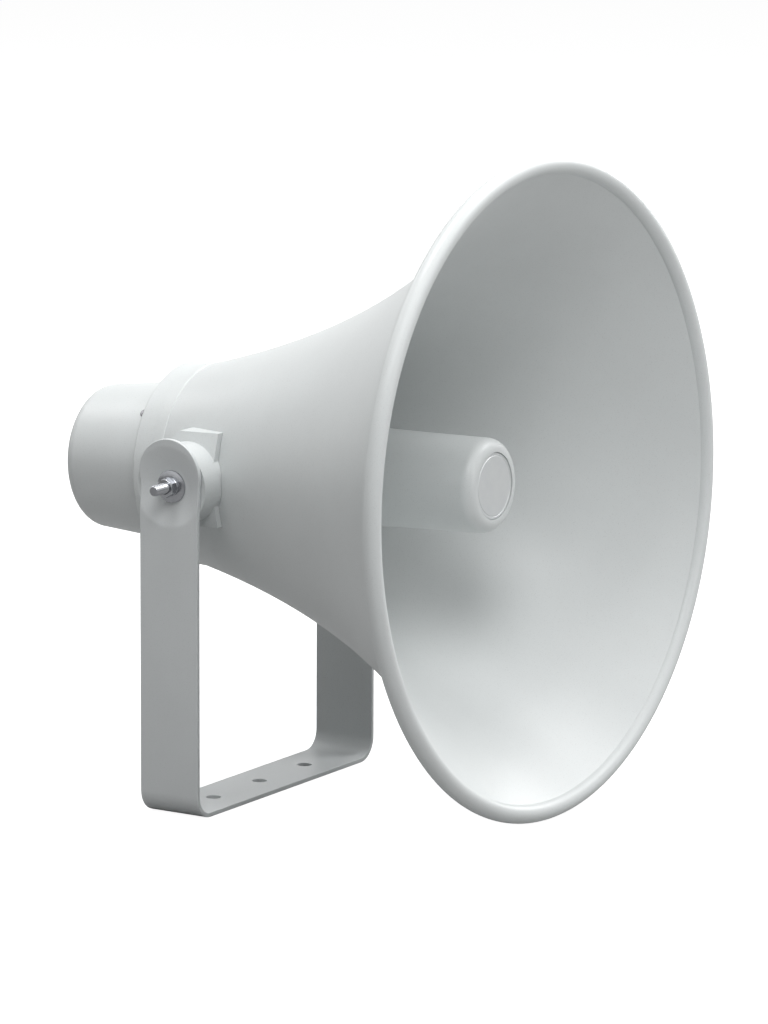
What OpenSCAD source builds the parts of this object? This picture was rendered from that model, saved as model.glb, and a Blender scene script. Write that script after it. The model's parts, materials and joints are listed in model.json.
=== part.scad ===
// Folded public address horn on a U bracket.
//
// X runs across the bracket, the mouth looks toward -Y and Z is up. The origin is the centre of the
// underside of the bracket's base. The horn hangs on two studs whose axis runs along X.
// Everything that tilts is drawn in the horn's own frame: x across, y up, z forward out of the mouth,
// zero at the tilt axis. All sizes are in millimetres.

/* [Bell] */
// outside diameter of the mouth over its rolled edge
mouth_d = 490; // [380:1:560]
// diameter of the rolled edge
bead_d = 14; // [8:0.5:18]
// tilt axis to the plane of the mouth
mouth_reach = 257; // [220:1:300]
// tilt axis back to the rear edge of the bell
bell_rear = 46; // [42:0.5:55]
// outside diameter of the bell at its rear edge
bell_rear_d = 150; // [144:1:160]
// thickness of the bell's sheet
bell_wall = 1.5; // [1:0.1:2.5]
// growth exponent of the flare over the length of the bell
flare_growth = 1.5; // [1.2:0.05:1.9]
// angle of the sheet to the horn's axis where it meets the rolled edge
lip_angle = 45; // [40:1:58]
// angle that the sheet curls through in the rolled edge
bead_curl = 290; // [200:5:300]

/* [Reflector] */
// outside diameter of the closed tube near its front
tube_d = 70; // [60:1:90]
// tilt axis to the front of the tube
tube_reach = 207; // [185:1:225]
// how much the tube's radius has grown by the tilt axis
tube_growth = 13; // [8:0.5:16]
// length over which that growth dies away
tube_growth_len = 58; // [40:1:80]
// tilt axis back to the tube's rear edge
tube_rear = 24; // [10:1:27]
// thickness of the tube's sheet
tube_wall = 1.5; // [1:0.1:2.5]
// radius of the tube's front shoulder
tube_shoulder = 10.5; // [6:0.5:12]
// width of the flat ring round the disc in the tube's front
disc_ring = 1.1; // [0.6:0.1:4]
// thickness of the disc
disc_t = 1.2; // [0.8:0.1:1.6]
// depth of the recess that the disc lies in
disc_recess = 2; // [1.7:0.1:3]

/* [Throat casting] */
// diameter of the ring behind the bell
collar_d = 152; // [146:1:164]
// tilt axis back to the rear face of the ring
collar_rear = 65; // [63:0.5:70]
// how far the narrow band behind the ring stands out past the cover
band_step = 1; // [0.5:0.5:4]
// length of the narrow band
band_len = 3; // [2:0.5:6]
// diameter of the throat
throat_d = 25; // [20:1:30]
// how far the faces of the side lugs stand out past the bell at the lugs' front edge
lug_proud = 4.1; // [1:0.1:8]
// tilt axis forward to the lugs' front edge
lug_front = 29; // [24:1:36]
// height of the lugs
lug_h = 70; // [62:1:80]
// height of the lugs' middle above the tilt axis
lug_rise = 2; // [0:0.5:3]
// diameter of the round bosses that the ears' dishes lie in
boss_d = 60; // [52:1:66]

/* [Rear cover] */
// outside diameter of the cover at its front edge
cover_front_d = 122; // [118:1:130]
// outside diameter of the cover near its rear
cover_rear_d = 107; // [100:1:120]
// tilt axis back to the rear of the cover
cover_reach = 144; // [136:1:165]
// radius of the cover's rear edge
cover_round = 12; // [6:0.5:18]
// thickness of the cover
cover_wall = 2.5; // [1.5:0.1:3]
// thickness of the gasket at the cover's front edge
gasket_t = 1.5; // [1:0.1:2.5]
// height of the cable gland below the horn's axis
gland_drop = 25; // [18:1:30]

/* [Bracket] */
// height of the tilt axis above the bracket's underside
pivot_h = 250; // [246:1:300]
// gap between each side lug and the arm beside it
arm_gap = 19; // [14:0.5:26]
// width of the strip
strip_w = 51; // [40:1:56]
// thickness of the strip
strip_t = 3.5; // [3:0.1:4.5]
// outside radius of the two bends
bend_r = 18; // [8:1:25]
// how far each side of the round ears stands out past the strip
ear_bulge = 1; // [0:0.5:6]
// height of the ears' middle above the tilt axis
ear_rise = 9.5; // [0:0.5:12]
// diameter of the dish pressed into each ear, which runs out over the strip's edges
dish_d = 60; // [44:1:62]
// diameter of the dish's flat floor
dish_floor_d = 28; // [25:1:32]
// depth of the dish
dish_depth = 5; // [3:0.5:7]
// diameter of the three holes in the base
base_hole_d = 11; // [6:0.5:13]
// distance between neighbouring holes in the base
base_hole_pitch = 63; // [40:1:75]

/* [Hinge] */
// diameter of the studs
stud_d = 8; // [6:0.5:10]
// length of stud left free past each nut
stud_tail = 14; // [3:0.5:20]
// width across the flats of the nuts
nut_af = 13; // [11:0.5:17]
// thickness of the nuts
nut_t = 6.5; // [5:0.5:8]
// diameter of the flat washers
washer_d = 24; // [16:1:25]
// thickness of the flat washers
washer_t = 1.8; // [1:0.1:2.5]
// thickness of the spring washers
spring_washer_t = 2; // [1.5:0.1:2.5]
// gap all round the studs in the ears
hinge_clearance = 0.08; // [0.02:0.01:0.1]
// how far the horn's axis lies below the tilt axis
axis_drop = 4; // [0:0.5:8]
// upward tip of the mouth at rest, degrees
rest_tilt = 2; // [2:0.5:8]

/* [Driver] */
// gap between the magnet and the heads of the screws round it
magnet_gap = 2.4; // [1.5:0.1:8]
// thickness of the magnet
magnet_t = 16; // [10:1:18]
// diameter of the voice coil inside its former
coil_d = 48; // [38:0.5:50]
// thickness of the steel plates
plate_t = 6; // [4:0.5:7]
// width of the transformer core
core_w = 48; // [40:1:52]
// height of the transformer core
core_h = 40; // [34:1:44]
// thickness of the stack of laminations
core_t = 16; // [10:1:18]

/* [Hidden] */
$fn = 96;
small_fn = 48;
slot_w = 0.9;
// gap between curved faces of two pieces that fit together
fit = 0.3;
// bite of a cutting shape past the face that it cuts
cut = 1;

mouth_r = mouth_d / 2;
bead_r = bead_d / 2;
curl_r = bead_r - bell_wall / 2;
curl_centre_r = mouth_r - bead_r;
curl_centre_m = mouth_reach - bead_r;
flare_end_r = curl_centre_r - curl_r * cos(lip_angle);
flare_end_m = curl_centre_m + curl_r * sin(lip_angle);
flare_start_r = bell_rear_d / 2 - bell_wall / 2;
flare_len = flare_end_m + bell_rear;
flare_rise = flare_end_r - flare_start_r;
// slope of the plain exponential at its end, and the share of the late term that brings it to the lip's angle
exp_slope = flare_growth * exp(flare_growth) / (exp(flare_growth) - 1);
late_power = 10;
late = (tan(lip_angle) * flare_len / flare_rise - exp_slope) / (late_power - exp_slope);
flare_steps = 44;
curl_steps = 22;

// radius of the middle of the bell's sheet a share t of the way from its rear edge to the rolled edge
function flare(t) = flare_start_r
    + (1 - late) * flare_rise * (exp(flare_growth * t) - 1) / (exp(flare_growth) - 1)
    + late * flare_rise * pow(t, late_power);
function flare_slope(t) = ((1 - late) * flare_rise * flare_growth * exp(flare_growth * t)
    / (exp(flare_growth) - 1) + late * flare_rise * late_power * pow(t, late_power - 1)) / flare_len;
// a point of the sheet, moved by side along its outward normal, as [radius, distance forward]
function flare_point(t, side) =
    let (a = atan(flare_slope(t)))
    [flare(t) + side * cos(a), -bell_rear + t * flare_len - side * sin(a)];
function curl_point(s, side) =
    let (a = lip_angle + s * bead_curl, r = curl_r - side)
    [curl_centre_r - r * cos(a), curl_centre_m + r * sin(a)];
function outer_flare(side, steps) = [for (i = [0:steps]) flare_point(i / steps, side)];

collar_front = bell_rear + bell_wall / 2;
flange_w = 13.75;
flange_inner_r = flare_start_r - flange_w;
flange_screw_inset = 9.25;
flange_screw_r = flare_start_r - flange_screw_inset;
clamp_count = 6;
clamp_screw_d = 3.5;
clamp_head_d = 6.5;
clamp_half_w = 5;
clamp_t = 2.5;
clamp_bite = 6;
web_t = 9;
web_front = collar_rear - web_t;
hub_t = 15;
hub_front = collar_rear - hub_t;
hub_r = 33;
hub_slope = 6;
web_edge = 8;
web_seat = 2;
collar_edge = 2;
cover_front_r = cover_front_d / 2;
cover_rear_r = cover_rear_d / 2;
band_r = cover_front_r + band_step;
band_rear = collar_rear + band_len;
cover_front = band_rear + gasket_t;
cover_taper = (cover_front_r - cover_rear_r) / (cover_reach - cover_front);
function cover_r(m) = cover_front_r - cover_taper * (m - cover_front);
spigot_r = cover_front_r - cover_wall - fit;
spigot_wall = 4.5;
spigot_len = 10;
spigot_rear = band_rear + spigot_len;
spigot_tip_r = cover_r(spigot_rear) - cover_wall - fit;
cover_screw_m = cover_front + 5;
cover_screw_d = 4;
cover_screw_count = 4;
cover_head_d = 6.6;
cover_head_h = 1.2;
cover_head_seat = 0.9;
lug_x = flare((lug_front + bell_rear) / flare_len) + bell_wall / 2 + lug_proud;
lug_edge = 5;
stud_depth = 22;

dish_back = strip_t * 0.8;
dish_root = 0.2;
ear_d = strip_w + 2 * ear_bulge;
boss_r = boss_d / 2;
arm_inner = lug_x + arm_gap;
arm_outer = arm_inner + strip_t;
bracket_w = 2 * arm_outer;
dish_floor = arm_outer - dish_depth;
boss_face = arm_inner - fit;
// gap between the floor of each seat and the dish that lies in it
seat_gap = 0.05;
seat_floor = dish_floor - strip_t - seat_gap;
ear_hole_r = stud_d / 2 + hinge_clearance;
washer_hole_r = stud_d / 2 + fit;

tube_r = tube_d / 2;
function tube_outer(m) = tube_r - 0.2 + tube_growth * exp(-m / tube_growth_len);
tube_steps = 30;
disc_floor = tube_reach - disc_recess;
pocket_r = tube_outer(tube_reach) - tube_shoulder - disc_ring;
disc_r = pocket_r - fit;

arm_tube_wall = 2.2;
turn_space = 35;
arm_tube_reach = tube_reach - turn_space;
arm_tube_end_d = 42;
arm_tube_growth = 1.2;
arm_flange_r = 30;
arm_flange_t = 3.5;
arm_screw_r = 25;
arm_screw_d = 3;
arm_head_d = 5.6;
arm_bite = 5;
bridge_t = 6;
bridge_hub_r = 7;
post_r = 6;
post_screw_d = 5;
post_screw_len = 15.5;
post_head_d = 10;
post_head_h = 0.7;
rib_rear = 4;
rib_front = 34;
rib_t = 3;

pocket_depth = 9;
plug_r = coil_d / 2 + 2;
plug_hole_r = 2;
plug_ring_r = 8.5;
plug_gap = 0.9;
dome_r = coil_d / 2;
dome_rise = 6;
film_t = 0.6;
ring_t = 2;
face_m = collar_rear;
plate_m = face_m + film_t + ring_t;
plate_rear = plate_m + plate_t;
magnet_rear = plate_rear + magnet_t;
yoke_rear = magnet_rear + plate_t;
plate_gap = 1.2;
plate_r = spigot_r - spigot_wall - plate_gap;
driver_screw_inset = 3.7;
driver_screw_r = plate_r - driver_screw_inset;
driver_screw_d = 4;
driver_head_d = 6.8;
driver_head_h = 3;
driver_bite = 5;
ring_inset = 6.8;
ring_outer_r = driver_screw_r - ring_inset;
film_edge = 4;
film_r = ring_outer_r - film_edge;
ring_inner_r = dome_r + 7;
magnet_r = driver_screw_r - driver_head_d / 2 - magnet_gap;
magnet_hole_r = dome_r + 6;
yoke_r = magnet_r - 2;
vent_r = 4;
coil_inner_r = coil_d / 2;
former_t = 0.25;
winding_t = 0.65;
gap = 0.6;
pole_r = coil_inner_r - gap;
bore_r = coil_inner_r + former_t + winding_t + gap;

frame_t = 1.2;
frame_w = 18;
frame_tab = 5;
frame_screw_d = 3.5;
frame_head_d = 6.5;
frame_head_h = 2.2;
frame_foot = 6;
frame_bite = 3.8;
frame_rear = yoke_rear + frame_t;
core_front = frame_rear + 6;
core_rear = core_front + core_t;
winding_over = 5.4;
leg_w = core_w / 6;
window_w = core_w / 6;
winding_half_w = core_w / 6 + window_w - 0.6;
window_h = core_h - 2 * leg_w;

terminal_w = 34;
terminal_h = 9;
terminal_y = -(yoke_r - 8);
terminal_pitch = 10.5;
terminal_rise = 11;
terminal_rear = yoke_rear + terminal_rise;
terminal_sink = 5;
terminal_screw_r = 1.8;
lead_hole_r = 1.3;

cover_inner_rear = cover_reach - cover_wall;

gland_thread_d = 16;
gland_af = 20;
gland_hex_t = 5;
gland_neck_d = 15;
gland_neck_len = 8;
gland_bore = 9;
seal_d = 12;
seal_bore = 7;
cap_bore = 8;
cap_t = 9;
cap_nose = 3;
gland_nut_t = 4;

// The horn's own frame, at rest.
module on_horn() {
    translate([0, 0, pivot_h])
        rotate([-rest_tilt, 0, 0])
            translate([0, 0, -axis_drop])
                rotate([90, 0, 0])
                    children();
}

// The tilt axis in the horn's own frame: children are drawn with z along the right-hand stud.
module on_pivot(side) {
    translate([0, axis_drop, 0])
        rotate([0, side * 90, 0])
            children();
}

// A round bar in the horn's frame, from distance m0 to m1 forward of the tilt axis.
module bar(r, m0, m1, n = $fn) {
    translate([0, 0, m0])
        cylinder(r = r, h = m1 - m0, $fn = n);
}

module hex(af, h) {
    cylinder(d = af / cos(30), h = h, $fn = 6);
}

// A plain screw along -z: head above zero, shank below.
module screw(d, length, head_d, head_h) {
    cylinder(d = head_d, h = head_h, $fn = small_fn);
    translate([0, 0, -length])
        cylinder(d = d, h = length + 0.01, $fn = small_fn);
}

module rounded_plate(w, h, r, t) {
    linear_extrude(height = t) {
        square([w - 2 * r, h], center = true);
        square([w, h - 2 * r], center = true);
        for (sx = [-1, 1], sy = [-1, 1])
            translate([sx * (w / 2 - r), sy * (h / 2 - r)])
                circle(r = r, $fn = small_fn);
    }
}

// Bracket: bent strip

// The bracket's front view moved in from its outside, closed across the top.
module u_outline(inset, top) {
    half = bracket_w / 2 - inset;
    r = bend_r - inset;
    translate([-half, bend_r])
        square([2 * half, top - bend_r]);
    translate([r - half, inset])
        square([2 * (half - r), bend_r + cut]);
    for (s = [-1, 1])
        translate([s * (half - r), bend_r])
            circle(r = r);
}

module strip_profile() {
    difference() {
        u_outline(0, pivot_h + ear_rise);
        u_outline(strip_t, pivot_h + ear_rise + cut);
    }
}

// An ear and the arm below it seen from the side, with the tilt axis at zero and down toward +x.
module ear_outline() {
    translate([-ear_rise, 0])
        circle(d = ear_d);
    translate([-ear_rise, -strip_w / 2])
        square([ear_rise + dish_d, strip_w]);
}

// Dish of the ear as a solid, z outward, zero at the ear's inner face, trimmed by the ear's outline.
module dish_wall() {
    intersection() {
        union() {
            translate([0, 0, -dish_depth])
                cylinder(d1 = dish_floor_d + dish_back, d2 = dish_d + dish_back, h = dish_depth);
            translate([0, 0, -dish_root])
                cylinder(d = dish_d, h = dish_root + strip_t / 2);
        }
        translate([0, 0, -dish_depth - cut])
            linear_extrude(height = dish_depth + strip_t + cut)
                ear_outline();
    }
}

module dish_hollow() {
    translate([0, 0, strip_t - dish_depth])
        cylinder(d1 = dish_floor_d, d2 = dish_d, h = dish_depth + 0.001);
}

// The tilt axis at an arm's inner face, with z outward and x down.
module ear(side) {
    mirror([side < 0 ? 1 : 0, 0, 0])
        translate([arm_inner, 0, pivot_h])
            rotate([0, 90, 0])
                children();
}

module u_bracket() {
    color("Gainsboro")
        difference() {
            union() {
                translate([0, strip_w / 2, 0])
                    rotate([90, 0, 0])
                        linear_extrude(height = strip_w)
                            strip_profile();
                for (s = [-1, 1])
                    translate([s > 0 ? arm_inner : -arm_outer, 0, pivot_h + ear_rise])
                        rotate([0, 90, 0])
                            cylinder(d = ear_d, h = strip_t);
                for (s = [-1, 1])
                    ear(s)
                        dish_wall();
            }
            for (s = [-1, 1])
                ear(s) {
                    dish_hollow();
                    translate([0, 0, -dish_depth - cut])
                        cylinder(r = ear_hole_r, h = dish_depth + strip_t + 2 * cut, $fn = small_fn);
                }
            for (i = [-1:1])
                translate([i * base_hole_pitch, 0, -cut])
                    cylinder(d = base_hole_d, h = strip_t + 2 * cut, $fn = small_fn);
        }
}

// Bell: one spun sheet, its edge rolled outward

module bell_profile() {
    polygon(concat(
        outer_flare(bell_wall / 2, flare_steps),
        [for (i = [1:curl_steps]) curl_point(i / curl_steps, bell_wall / 2)],
        [for (i = [curl_steps:-1:1]) curl_point(i / curl_steps, -bell_wall / 2)],
        [for (i = [flare_steps:-1:0]) flare_point(i / flare_steps, -bell_wall / 2)]
    ));
}

module bell() {
    color("WhiteSmoke")
        on_horn()
            difference() {
                rotate_extrude() {
                    bell_profile();
                    translate([flange_inner_r, -bell_rear - bell_wall / 2])
                        square([flare_start_r - flange_inner_r, bell_wall]);
                }
                clamp_holes(clamp_screw_d / 2 + fit);
            }
}

// The bell's outside as a solid, grown by a gap.
module bell_envelope(grow) {
    steps = 24;
    rotate_extrude()
        polygon(concat(
            [[0, -collar_front]],
            [[flare_point(0, bell_wall / 2 + grow)[0], -collar_front]],
            outer_flare(bell_wall / 2 + grow, steps),
            [[0, flare_end_m]]
        ));
}

module on_ring(radius, count, turn = 0) {
    for (i = [0:count - 1])
        rotate([0, 0, turn + i * 360 / count])
            translate([radius, 0, 0])
                children();
}

module clamp_holes(r) {
    on_ring(flange_screw_r, clamp_count)
        bar(r, -collar_front - cut, -bell_rear + clamp_t + 2 * cut, small_fn);
}

// Throat casting: ring, web, hub and spigot, with the two side lugs and their bosses

module casting_body() {
    collar_r = collar_d / 2;
    rotate_extrude()
        polygon([
            [0, -hub_front],
            [hub_r, -hub_front],
            [hub_r + hub_slope, -web_front],
            [flange_inner_r - web_edge, -web_front],
            [flange_inner_r - web_seat, -collar_front],
            [collar_r, -collar_front],
            [collar_r, -collar_rear + collar_edge],
            [collar_r - collar_edge, -collar_rear],
            [band_r, -collar_rear],
            [band_r, -band_rear],
            [spigot_r, -band_rear],
            [spigot_tip_r, -spigot_rear],
            [spigot_r - spigot_wall, -spigot_rear],
            [spigot_r - spigot_wall, -face_m],
            [0, -face_m]
        ]);
}

module lug(side) {
    translate([side * lug_x, axis_drop + lug_rise, 0])
        rotate([0, -side * 90, 0])
            translate([side * (lug_front - collar_front - cut) / 2, 0, 0])
                rounded_plate(lug_front + collar_front + cut, lug_h, lug_edge, lug_x / 2);
}

module boss(side) {
    on_pivot(side)
        translate([0, 0, lug_x - cut])
            cylinder(r = boss_r, h = boss_face - lug_x + cut);
}

module seat_hollow(side) {
    on_pivot(side) {
        translate([0, 0, seat_floor])
            cylinder(d1 = dish_floor_d + dish_back + 2 * fit, d2 = dish_d + dish_back + 2 * fit,
                h = dish_depth + 0.001);
        bar(stud_d / 2, seat_floor - stud_depth, seat_floor + cut, small_fn);
    }
}

module throat_casting() {
    color("LightGray")
        on_horn()
            difference() {
                union() {
                    casting_body();
                    for (s = [-1, 1]) {
                        difference() {
                            lug(s);
                            bell_envelope(fit);
                        }
                        boss(s);
                    }
                }
                for (s = [-1, 1])
                    seat_hollow(s);
                bar(throat_d / 2, -face_m - cut, -hub_front + cut);
                bar(plug_r + fit, -face_m - cut, -face_m + pocket_depth);
                on_ring(flange_screw_r, clamp_count)
                    bar(clamp_screw_d / 2, -collar_front - clamp_bite, -collar_front + cut, small_fn);
                on_ring(driver_screw_r, 4, 45)
                    bar(driver_screw_d / 2, -face_m - cut, -face_m + driver_bite, small_fn);
                on_ring(arm_screw_r, 3, 90)
                    bar(arm_screw_d / 2, -hub_front - arm_bite, -hub_front + cut, small_fn);
                on_cover_screws()
                    bar(cover_screw_d / 2, spigot_r - spigot_wall - cut, spigot_r + cut, small_fn);
            }
}

// Radial axes of the cover's screws, with z outward from the horn's axis.
module on_cover_screws() {
    for (i = [0:cover_screw_count - 1])
        rotate([0, 0, 45 + i * 360 / cover_screw_count])
            translate([0, 0, -cover_screw_m])
                rotate([0, 90, 0])
                    children();
}

module clamp_ring() {
    color("Silver")
        on_horn()
            difference() {
                translate([0, 0, -bell_rear + bell_wall / 2])
                    difference() {
                        cylinder(r = flange_screw_r + clamp_half_w, h = clamp_t);
                        translate([0, 0, -cut])
                            cylinder(r = flange_inner_r - 1, h = clamp_t + 2 * cut);
                    }
                clamp_holes(clamp_screw_d / 2 + fit);
            }
}

module clamp_screws() {
    color("Silver")
        on_horn()
            on_ring(flange_screw_r, clamp_count)
                translate([0, 0, -bell_rear + bell_wall / 2 + clamp_t])
                    screw(clamp_screw_d, clamp_t + bell_wall + clamp_bite, clamp_head_d, clamp_t);
}

// Rear cover: a drum with a rounded rear edge

cover_steps = 10;
function cover_edge(inset) =
    let (r = cover_round - inset, mid_r = cover_r(cover_reach - cover_round) - cover_round)
    [for (i = [0:cover_steps])
        let (a = 90 * i / cover_steps)
        [mid_r + r * cos(a), -cover_reach + cover_round - r * sin(a)]];

module rear_cover() {
    color("WhiteSmoke")
        on_horn()
            difference() {
                rotate_extrude()
                    polygon(concat(
                        [[cover_front_r - cover_wall, -cover_front], [cover_front_r, -cover_front]],
                        cover_edge(0),
                        [[0, -cover_reach], [0, -cover_inner_rear]],
                        [for (i = [cover_steps:-1:0]) cover_edge(cover_wall)[i]]
                    ));
                translate([0, -gland_drop, 0])
                    bar(gland_thread_d / 2 + fit, -cover_reach - cut, -cover_inner_rear + cut, small_fn);
                on_cover_screws() {
                    bar(cover_screw_d / 2 + fit, cover_front_r - 2 * cover_wall, cover_front_r + cut,
                        small_fn);
                    bar(cover_head_d / 2 + fit, cover_front_r - cover_head_seat - fit, cover_front_r + cut,
                        small_fn);
                }
            }
}

module cover_gasket() {
    color("DimGray")
        on_horn()
            difference() {
                bar(cover_front_r - 0.5, -cover_front, -band_rear);
                bar(spigot_r + fit, -cover_front - cut, -band_rear + cut);
            }
}

module cover_screws() {
    color("Silver")
        on_horn()
            on_cover_screws()
                translate([0, 0, cover_front_r - cover_head_seat])
                    difference() {
                        screw(cover_screw_d, cover_wall + spigot_wall - cover_head_seat, cover_head_d,
                            cover_head_h);
                        translate([0, 0, cover_head_h])
                            cube([slot_w, cover_head_d * 0.8, cover_head_h], center = true);
                    }
}

// Reflector: the closed tube, with the disc in its front

module reflector() {
    front_r = tube_outer(tube_reach);
    shoulder_m = tube_reach - tube_shoulder;
    function wall_line(inset) = [for (i = [0:tube_steps])
        let (m = -tube_rear + (shoulder_m + tube_rear) * i / tube_steps)
        [tube_outer(m) - inset, m]];
    function shoulder_line(inset) = [for (i = [0:12])
        let (a = 90 * i / 12, r = tube_shoulder - inset)
        [front_r - tube_shoulder + r * cos(a), shoulder_m + r * sin(a)]];
    color("WhiteSmoke")
        on_horn()
            difference() {
                rotate_extrude()
                    polygon(concat(
                        wall_line(0),
                        shoulder_line(0),
                        [[pocket_r, tube_reach], [pocket_r, disc_floor], [0, disc_floor],
                            [0, disc_floor - tube_wall], [pocket_r - tube_wall, disc_floor - tube_wall]],
                        [for (i = [12:-1:0]) shoulder_line(tube_wall)[i]],
                        [for (i = [tube_steps:-1:0]) wall_line(tube_wall)[i]]
                    ));
                translate([0, 0, disc_floor - tube_wall - cut])
                    cylinder(r = post_screw_d / 2 + fit, h = tube_wall + 2 * cut, $fn = small_fn);
            }
}

module front_disc() {
    color("Silver")
        on_horn()
            difference() {
                bar(disc_r, disc_floor, disc_floor + disc_t);
                bar(post_head_d / 2 + 1, disc_floor - cut, disc_floor + post_head_h + 0.2);
            }
}

module reflector_screw() {
    color("Silver")
        on_horn()
            translate([0, 0, disc_floor])
                screw(post_screw_d, post_screw_len, post_head_d, post_head_h);
}

module reflector_post() {
    color("Silver")
        on_horn()
            difference() {
                bar(post_r, arm_tube_reach, disc_floor - tube_wall, small_fn);
                bar(post_screw_d / 2, disc_floor - post_screw_len - cut, disc_floor, small_fn);
            }
}

// Tone arm: flanged tube with three ribs outside and a three-legged bridge in its mouth

module tone_arm() {
    end_r = arm_tube_end_d / 2;
    function bore_at(m) = throat_d / 2 + (end_r - throat_d / 2)
        * (exp(arm_tube_growth * (m + hub_front) / (arm_tube_reach + hub_front)) - 1)
        / (exp(arm_tube_growth) - 1);
    steps = 16;
    flange_top = -hub_front + arm_flange_t;
    rib_tip = tube_outer(rib_front) - tube_wall - fit;
    function bore_line(wall) = [for (i = [0:steps])
        let (m = -hub_front + (arm_tube_reach + hub_front) * i / steps)
        [bore_at(m) + wall, m]];
    color("LightGray")
        on_horn()
            difference() {
                union() {
                    rotate_extrude()
                        polygon(concat(
                            [for (i = [steps:-1:0]) bore_line(0)[i]],
                            [[arm_flange_r, -hub_front], [arm_flange_r, flange_top],
                                [bore_at(flange_top) + arm_tube_wall, flange_top]],
                            [for (p = bore_line(arm_tube_wall)) if (p[1] > flange_top + 0.1) p]
                        ));
                    for (i = [0:2])
                        rotate([0, 0, 30 + i * 120])
                            translate([bore_at(rib_front), -rib_t / 2, rib_rear])
                                cube([rib_tip - bore_at(rib_front), rib_t, rib_front - rib_rear]);
                    for (i = [0:2])
                        rotate([0, 0, 90 + i * 120])
                            translate([0, -rib_t / 2, arm_tube_reach - bridge_t])
                                cube([bore_at(arm_tube_reach - bridge_t) + 1, rib_t, bridge_t]);
                    bar(bridge_hub_r, arm_tube_reach - bridge_t, arm_tube_reach, small_fn);
                }
                on_ring(arm_screw_r, 3, 90)
                    bar(arm_screw_d / 2 + fit, -hub_front - cut, flange_top + cut, small_fn);
            }
}

module tone_arm_screws() {
    color("Silver")
        on_horn()
            on_ring(arm_screw_r, 3, 90)
                translate([0, 0, -hub_front + arm_flange_t])
                    screw(arm_screw_d, arm_flange_t + arm_bite, arm_head_d, clamp_t);
}

// Driver

module phase_plug() {
    plug_front = face_m - pocket_depth;
    dome_sphere = (dome_r * dome_r + dome_rise * dome_rise) / (2 * dome_rise);
    dome_centre = -face_m + dome_rise - dome_sphere;
    color("DimGray")
        on_horn()
            difference() {
                rotate_extrude()
                    polygon(concat(
                        [[0, -plug_front]],
                        [[plug_r, -plug_front], [plug_r, -face_m + 0.5]],
                        [for (i = [0:10])
                            let (r = dome_r * (1 - i / 10), s = dome_sphere + plug_gap)
                            [r, dome_centre + sqrt(s * s - r * r)]]
                    ));
                bar(plug_hole_r, -face_m, -plug_front + cut, small_fn);
                on_ring(plug_ring_r, 8)
                    bar(plug_hole_r, -face_m, -plug_front + cut, small_fn);
            }
}

module diaphragm() {
    sphere_r = (dome_r * dome_r + dome_rise * dome_rise) / (2 * dome_rise);
    centre = -face_m + dome_rise - sphere_r;
    function cap(r) = [for (i = [0:14])
        let (x = dome_r * (1 - i / 14))
        [x, centre + sqrt(r * r - x * x)]];
    function under(r) = [for (i = [14:-1:0])
        let (x = dome_r * (1 - i / 14))
        [x, centre + sqrt(r * r - x * x) - film_t]];
    color("SaddleBrown")
        on_horn()
            rotate_extrude()
                polygon(concat(
                    [[film_r, -face_m - film_t], [film_r, -face_m]],
                    cap(sphere_r),
                    under(sphere_r)
                ));
}

module voice_coil() {
    color("Peru")
        on_horn()
            rotate_extrude()
                polygon([
                    [coil_inner_r, -face_m - film_t],
                    [coil_inner_r + former_t, -face_m - film_t],
                    [coil_inner_r + former_t, -plate_m + 0.4],
                    [coil_inner_r + former_t + winding_t, -plate_m + 0.4],
                    [coil_inner_r + former_t + winding_t, -plate_rear - 0.4],
                    [coil_inner_r, -plate_rear - 0.4]
                ]);
}

module diaphragm_ring() {
    color("DimGray")
        on_horn()
            difference() {
                bar(ring_outer_r, -plate_m, -face_m);
                bar(ring_inner_r, -plate_m - cut, -face_m + cut);
                bar(film_r + 0.2, -face_m - film_t, -face_m + cut);
            }
}

// The plate's raised rim, outside the diaphragm's ring, carries it on the casting's rear face.
module top_plate() {
    color("SlateGray")
        on_horn()
            difference() {
                bar(plate_r, -plate_rear, -face_m);
                bar(bore_r, -plate_rear - cut, -plate_m + cut);
                bar(ring_outer_r + fit, -plate_m, -face_m + cut);
                on_ring(driver_screw_r, 4, 45)
                    bar(driver_screw_d / 2 + fit, -plate_rear - cut, -face_m + cut, small_fn);
            }
}

module magnet() {
    color("Black")
        on_horn()
            difference() {
                bar(magnet_r, -magnet_rear, -plate_rear);
                bar(magnet_hole_r, -magnet_rear - cut, -plate_rear + cut);
            }
}

module pole_yoke() {
    color("SlateGray")
        on_horn()
            difference() {
                union() {
                    bar(yoke_r, -yoke_rear, -magnet_rear);
                    bar(pole_r, -yoke_rear, -plate_m);
                }
                bar(vent_r, -yoke_rear - cut, -plate_m + cut, small_fn);
                frame_threads();
            }
}

module driver_screws() {
    color("Silver")
        on_horn()
            on_ring(driver_screw_r, 4, 45)
                translate([0, 0, -plate_rear])
                    rotate([180, 0, 0])
                        difference() {
                            screw(driver_screw_d, plate_rear - face_m + driver_bite, driver_head_d,
                                driver_head_h);
                            translate([0, 0, driver_head_h / 2])
                                hex(driver_screw_d * 0.75, driver_head_h);
                        }
}

// Line transformer, strapped to the yoke

frame_screw_x = core_w / 2 + frame_t + frame_head_d / 2 + 1;
module frame_threads() {
    for (s = [-1, 1])
        translate([s * frame_screw_x, 0, 0])
            bar(frame_screw_d / 2, -yoke_rear - cut, -yoke_rear + frame_bite, small_fn);
}

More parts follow.
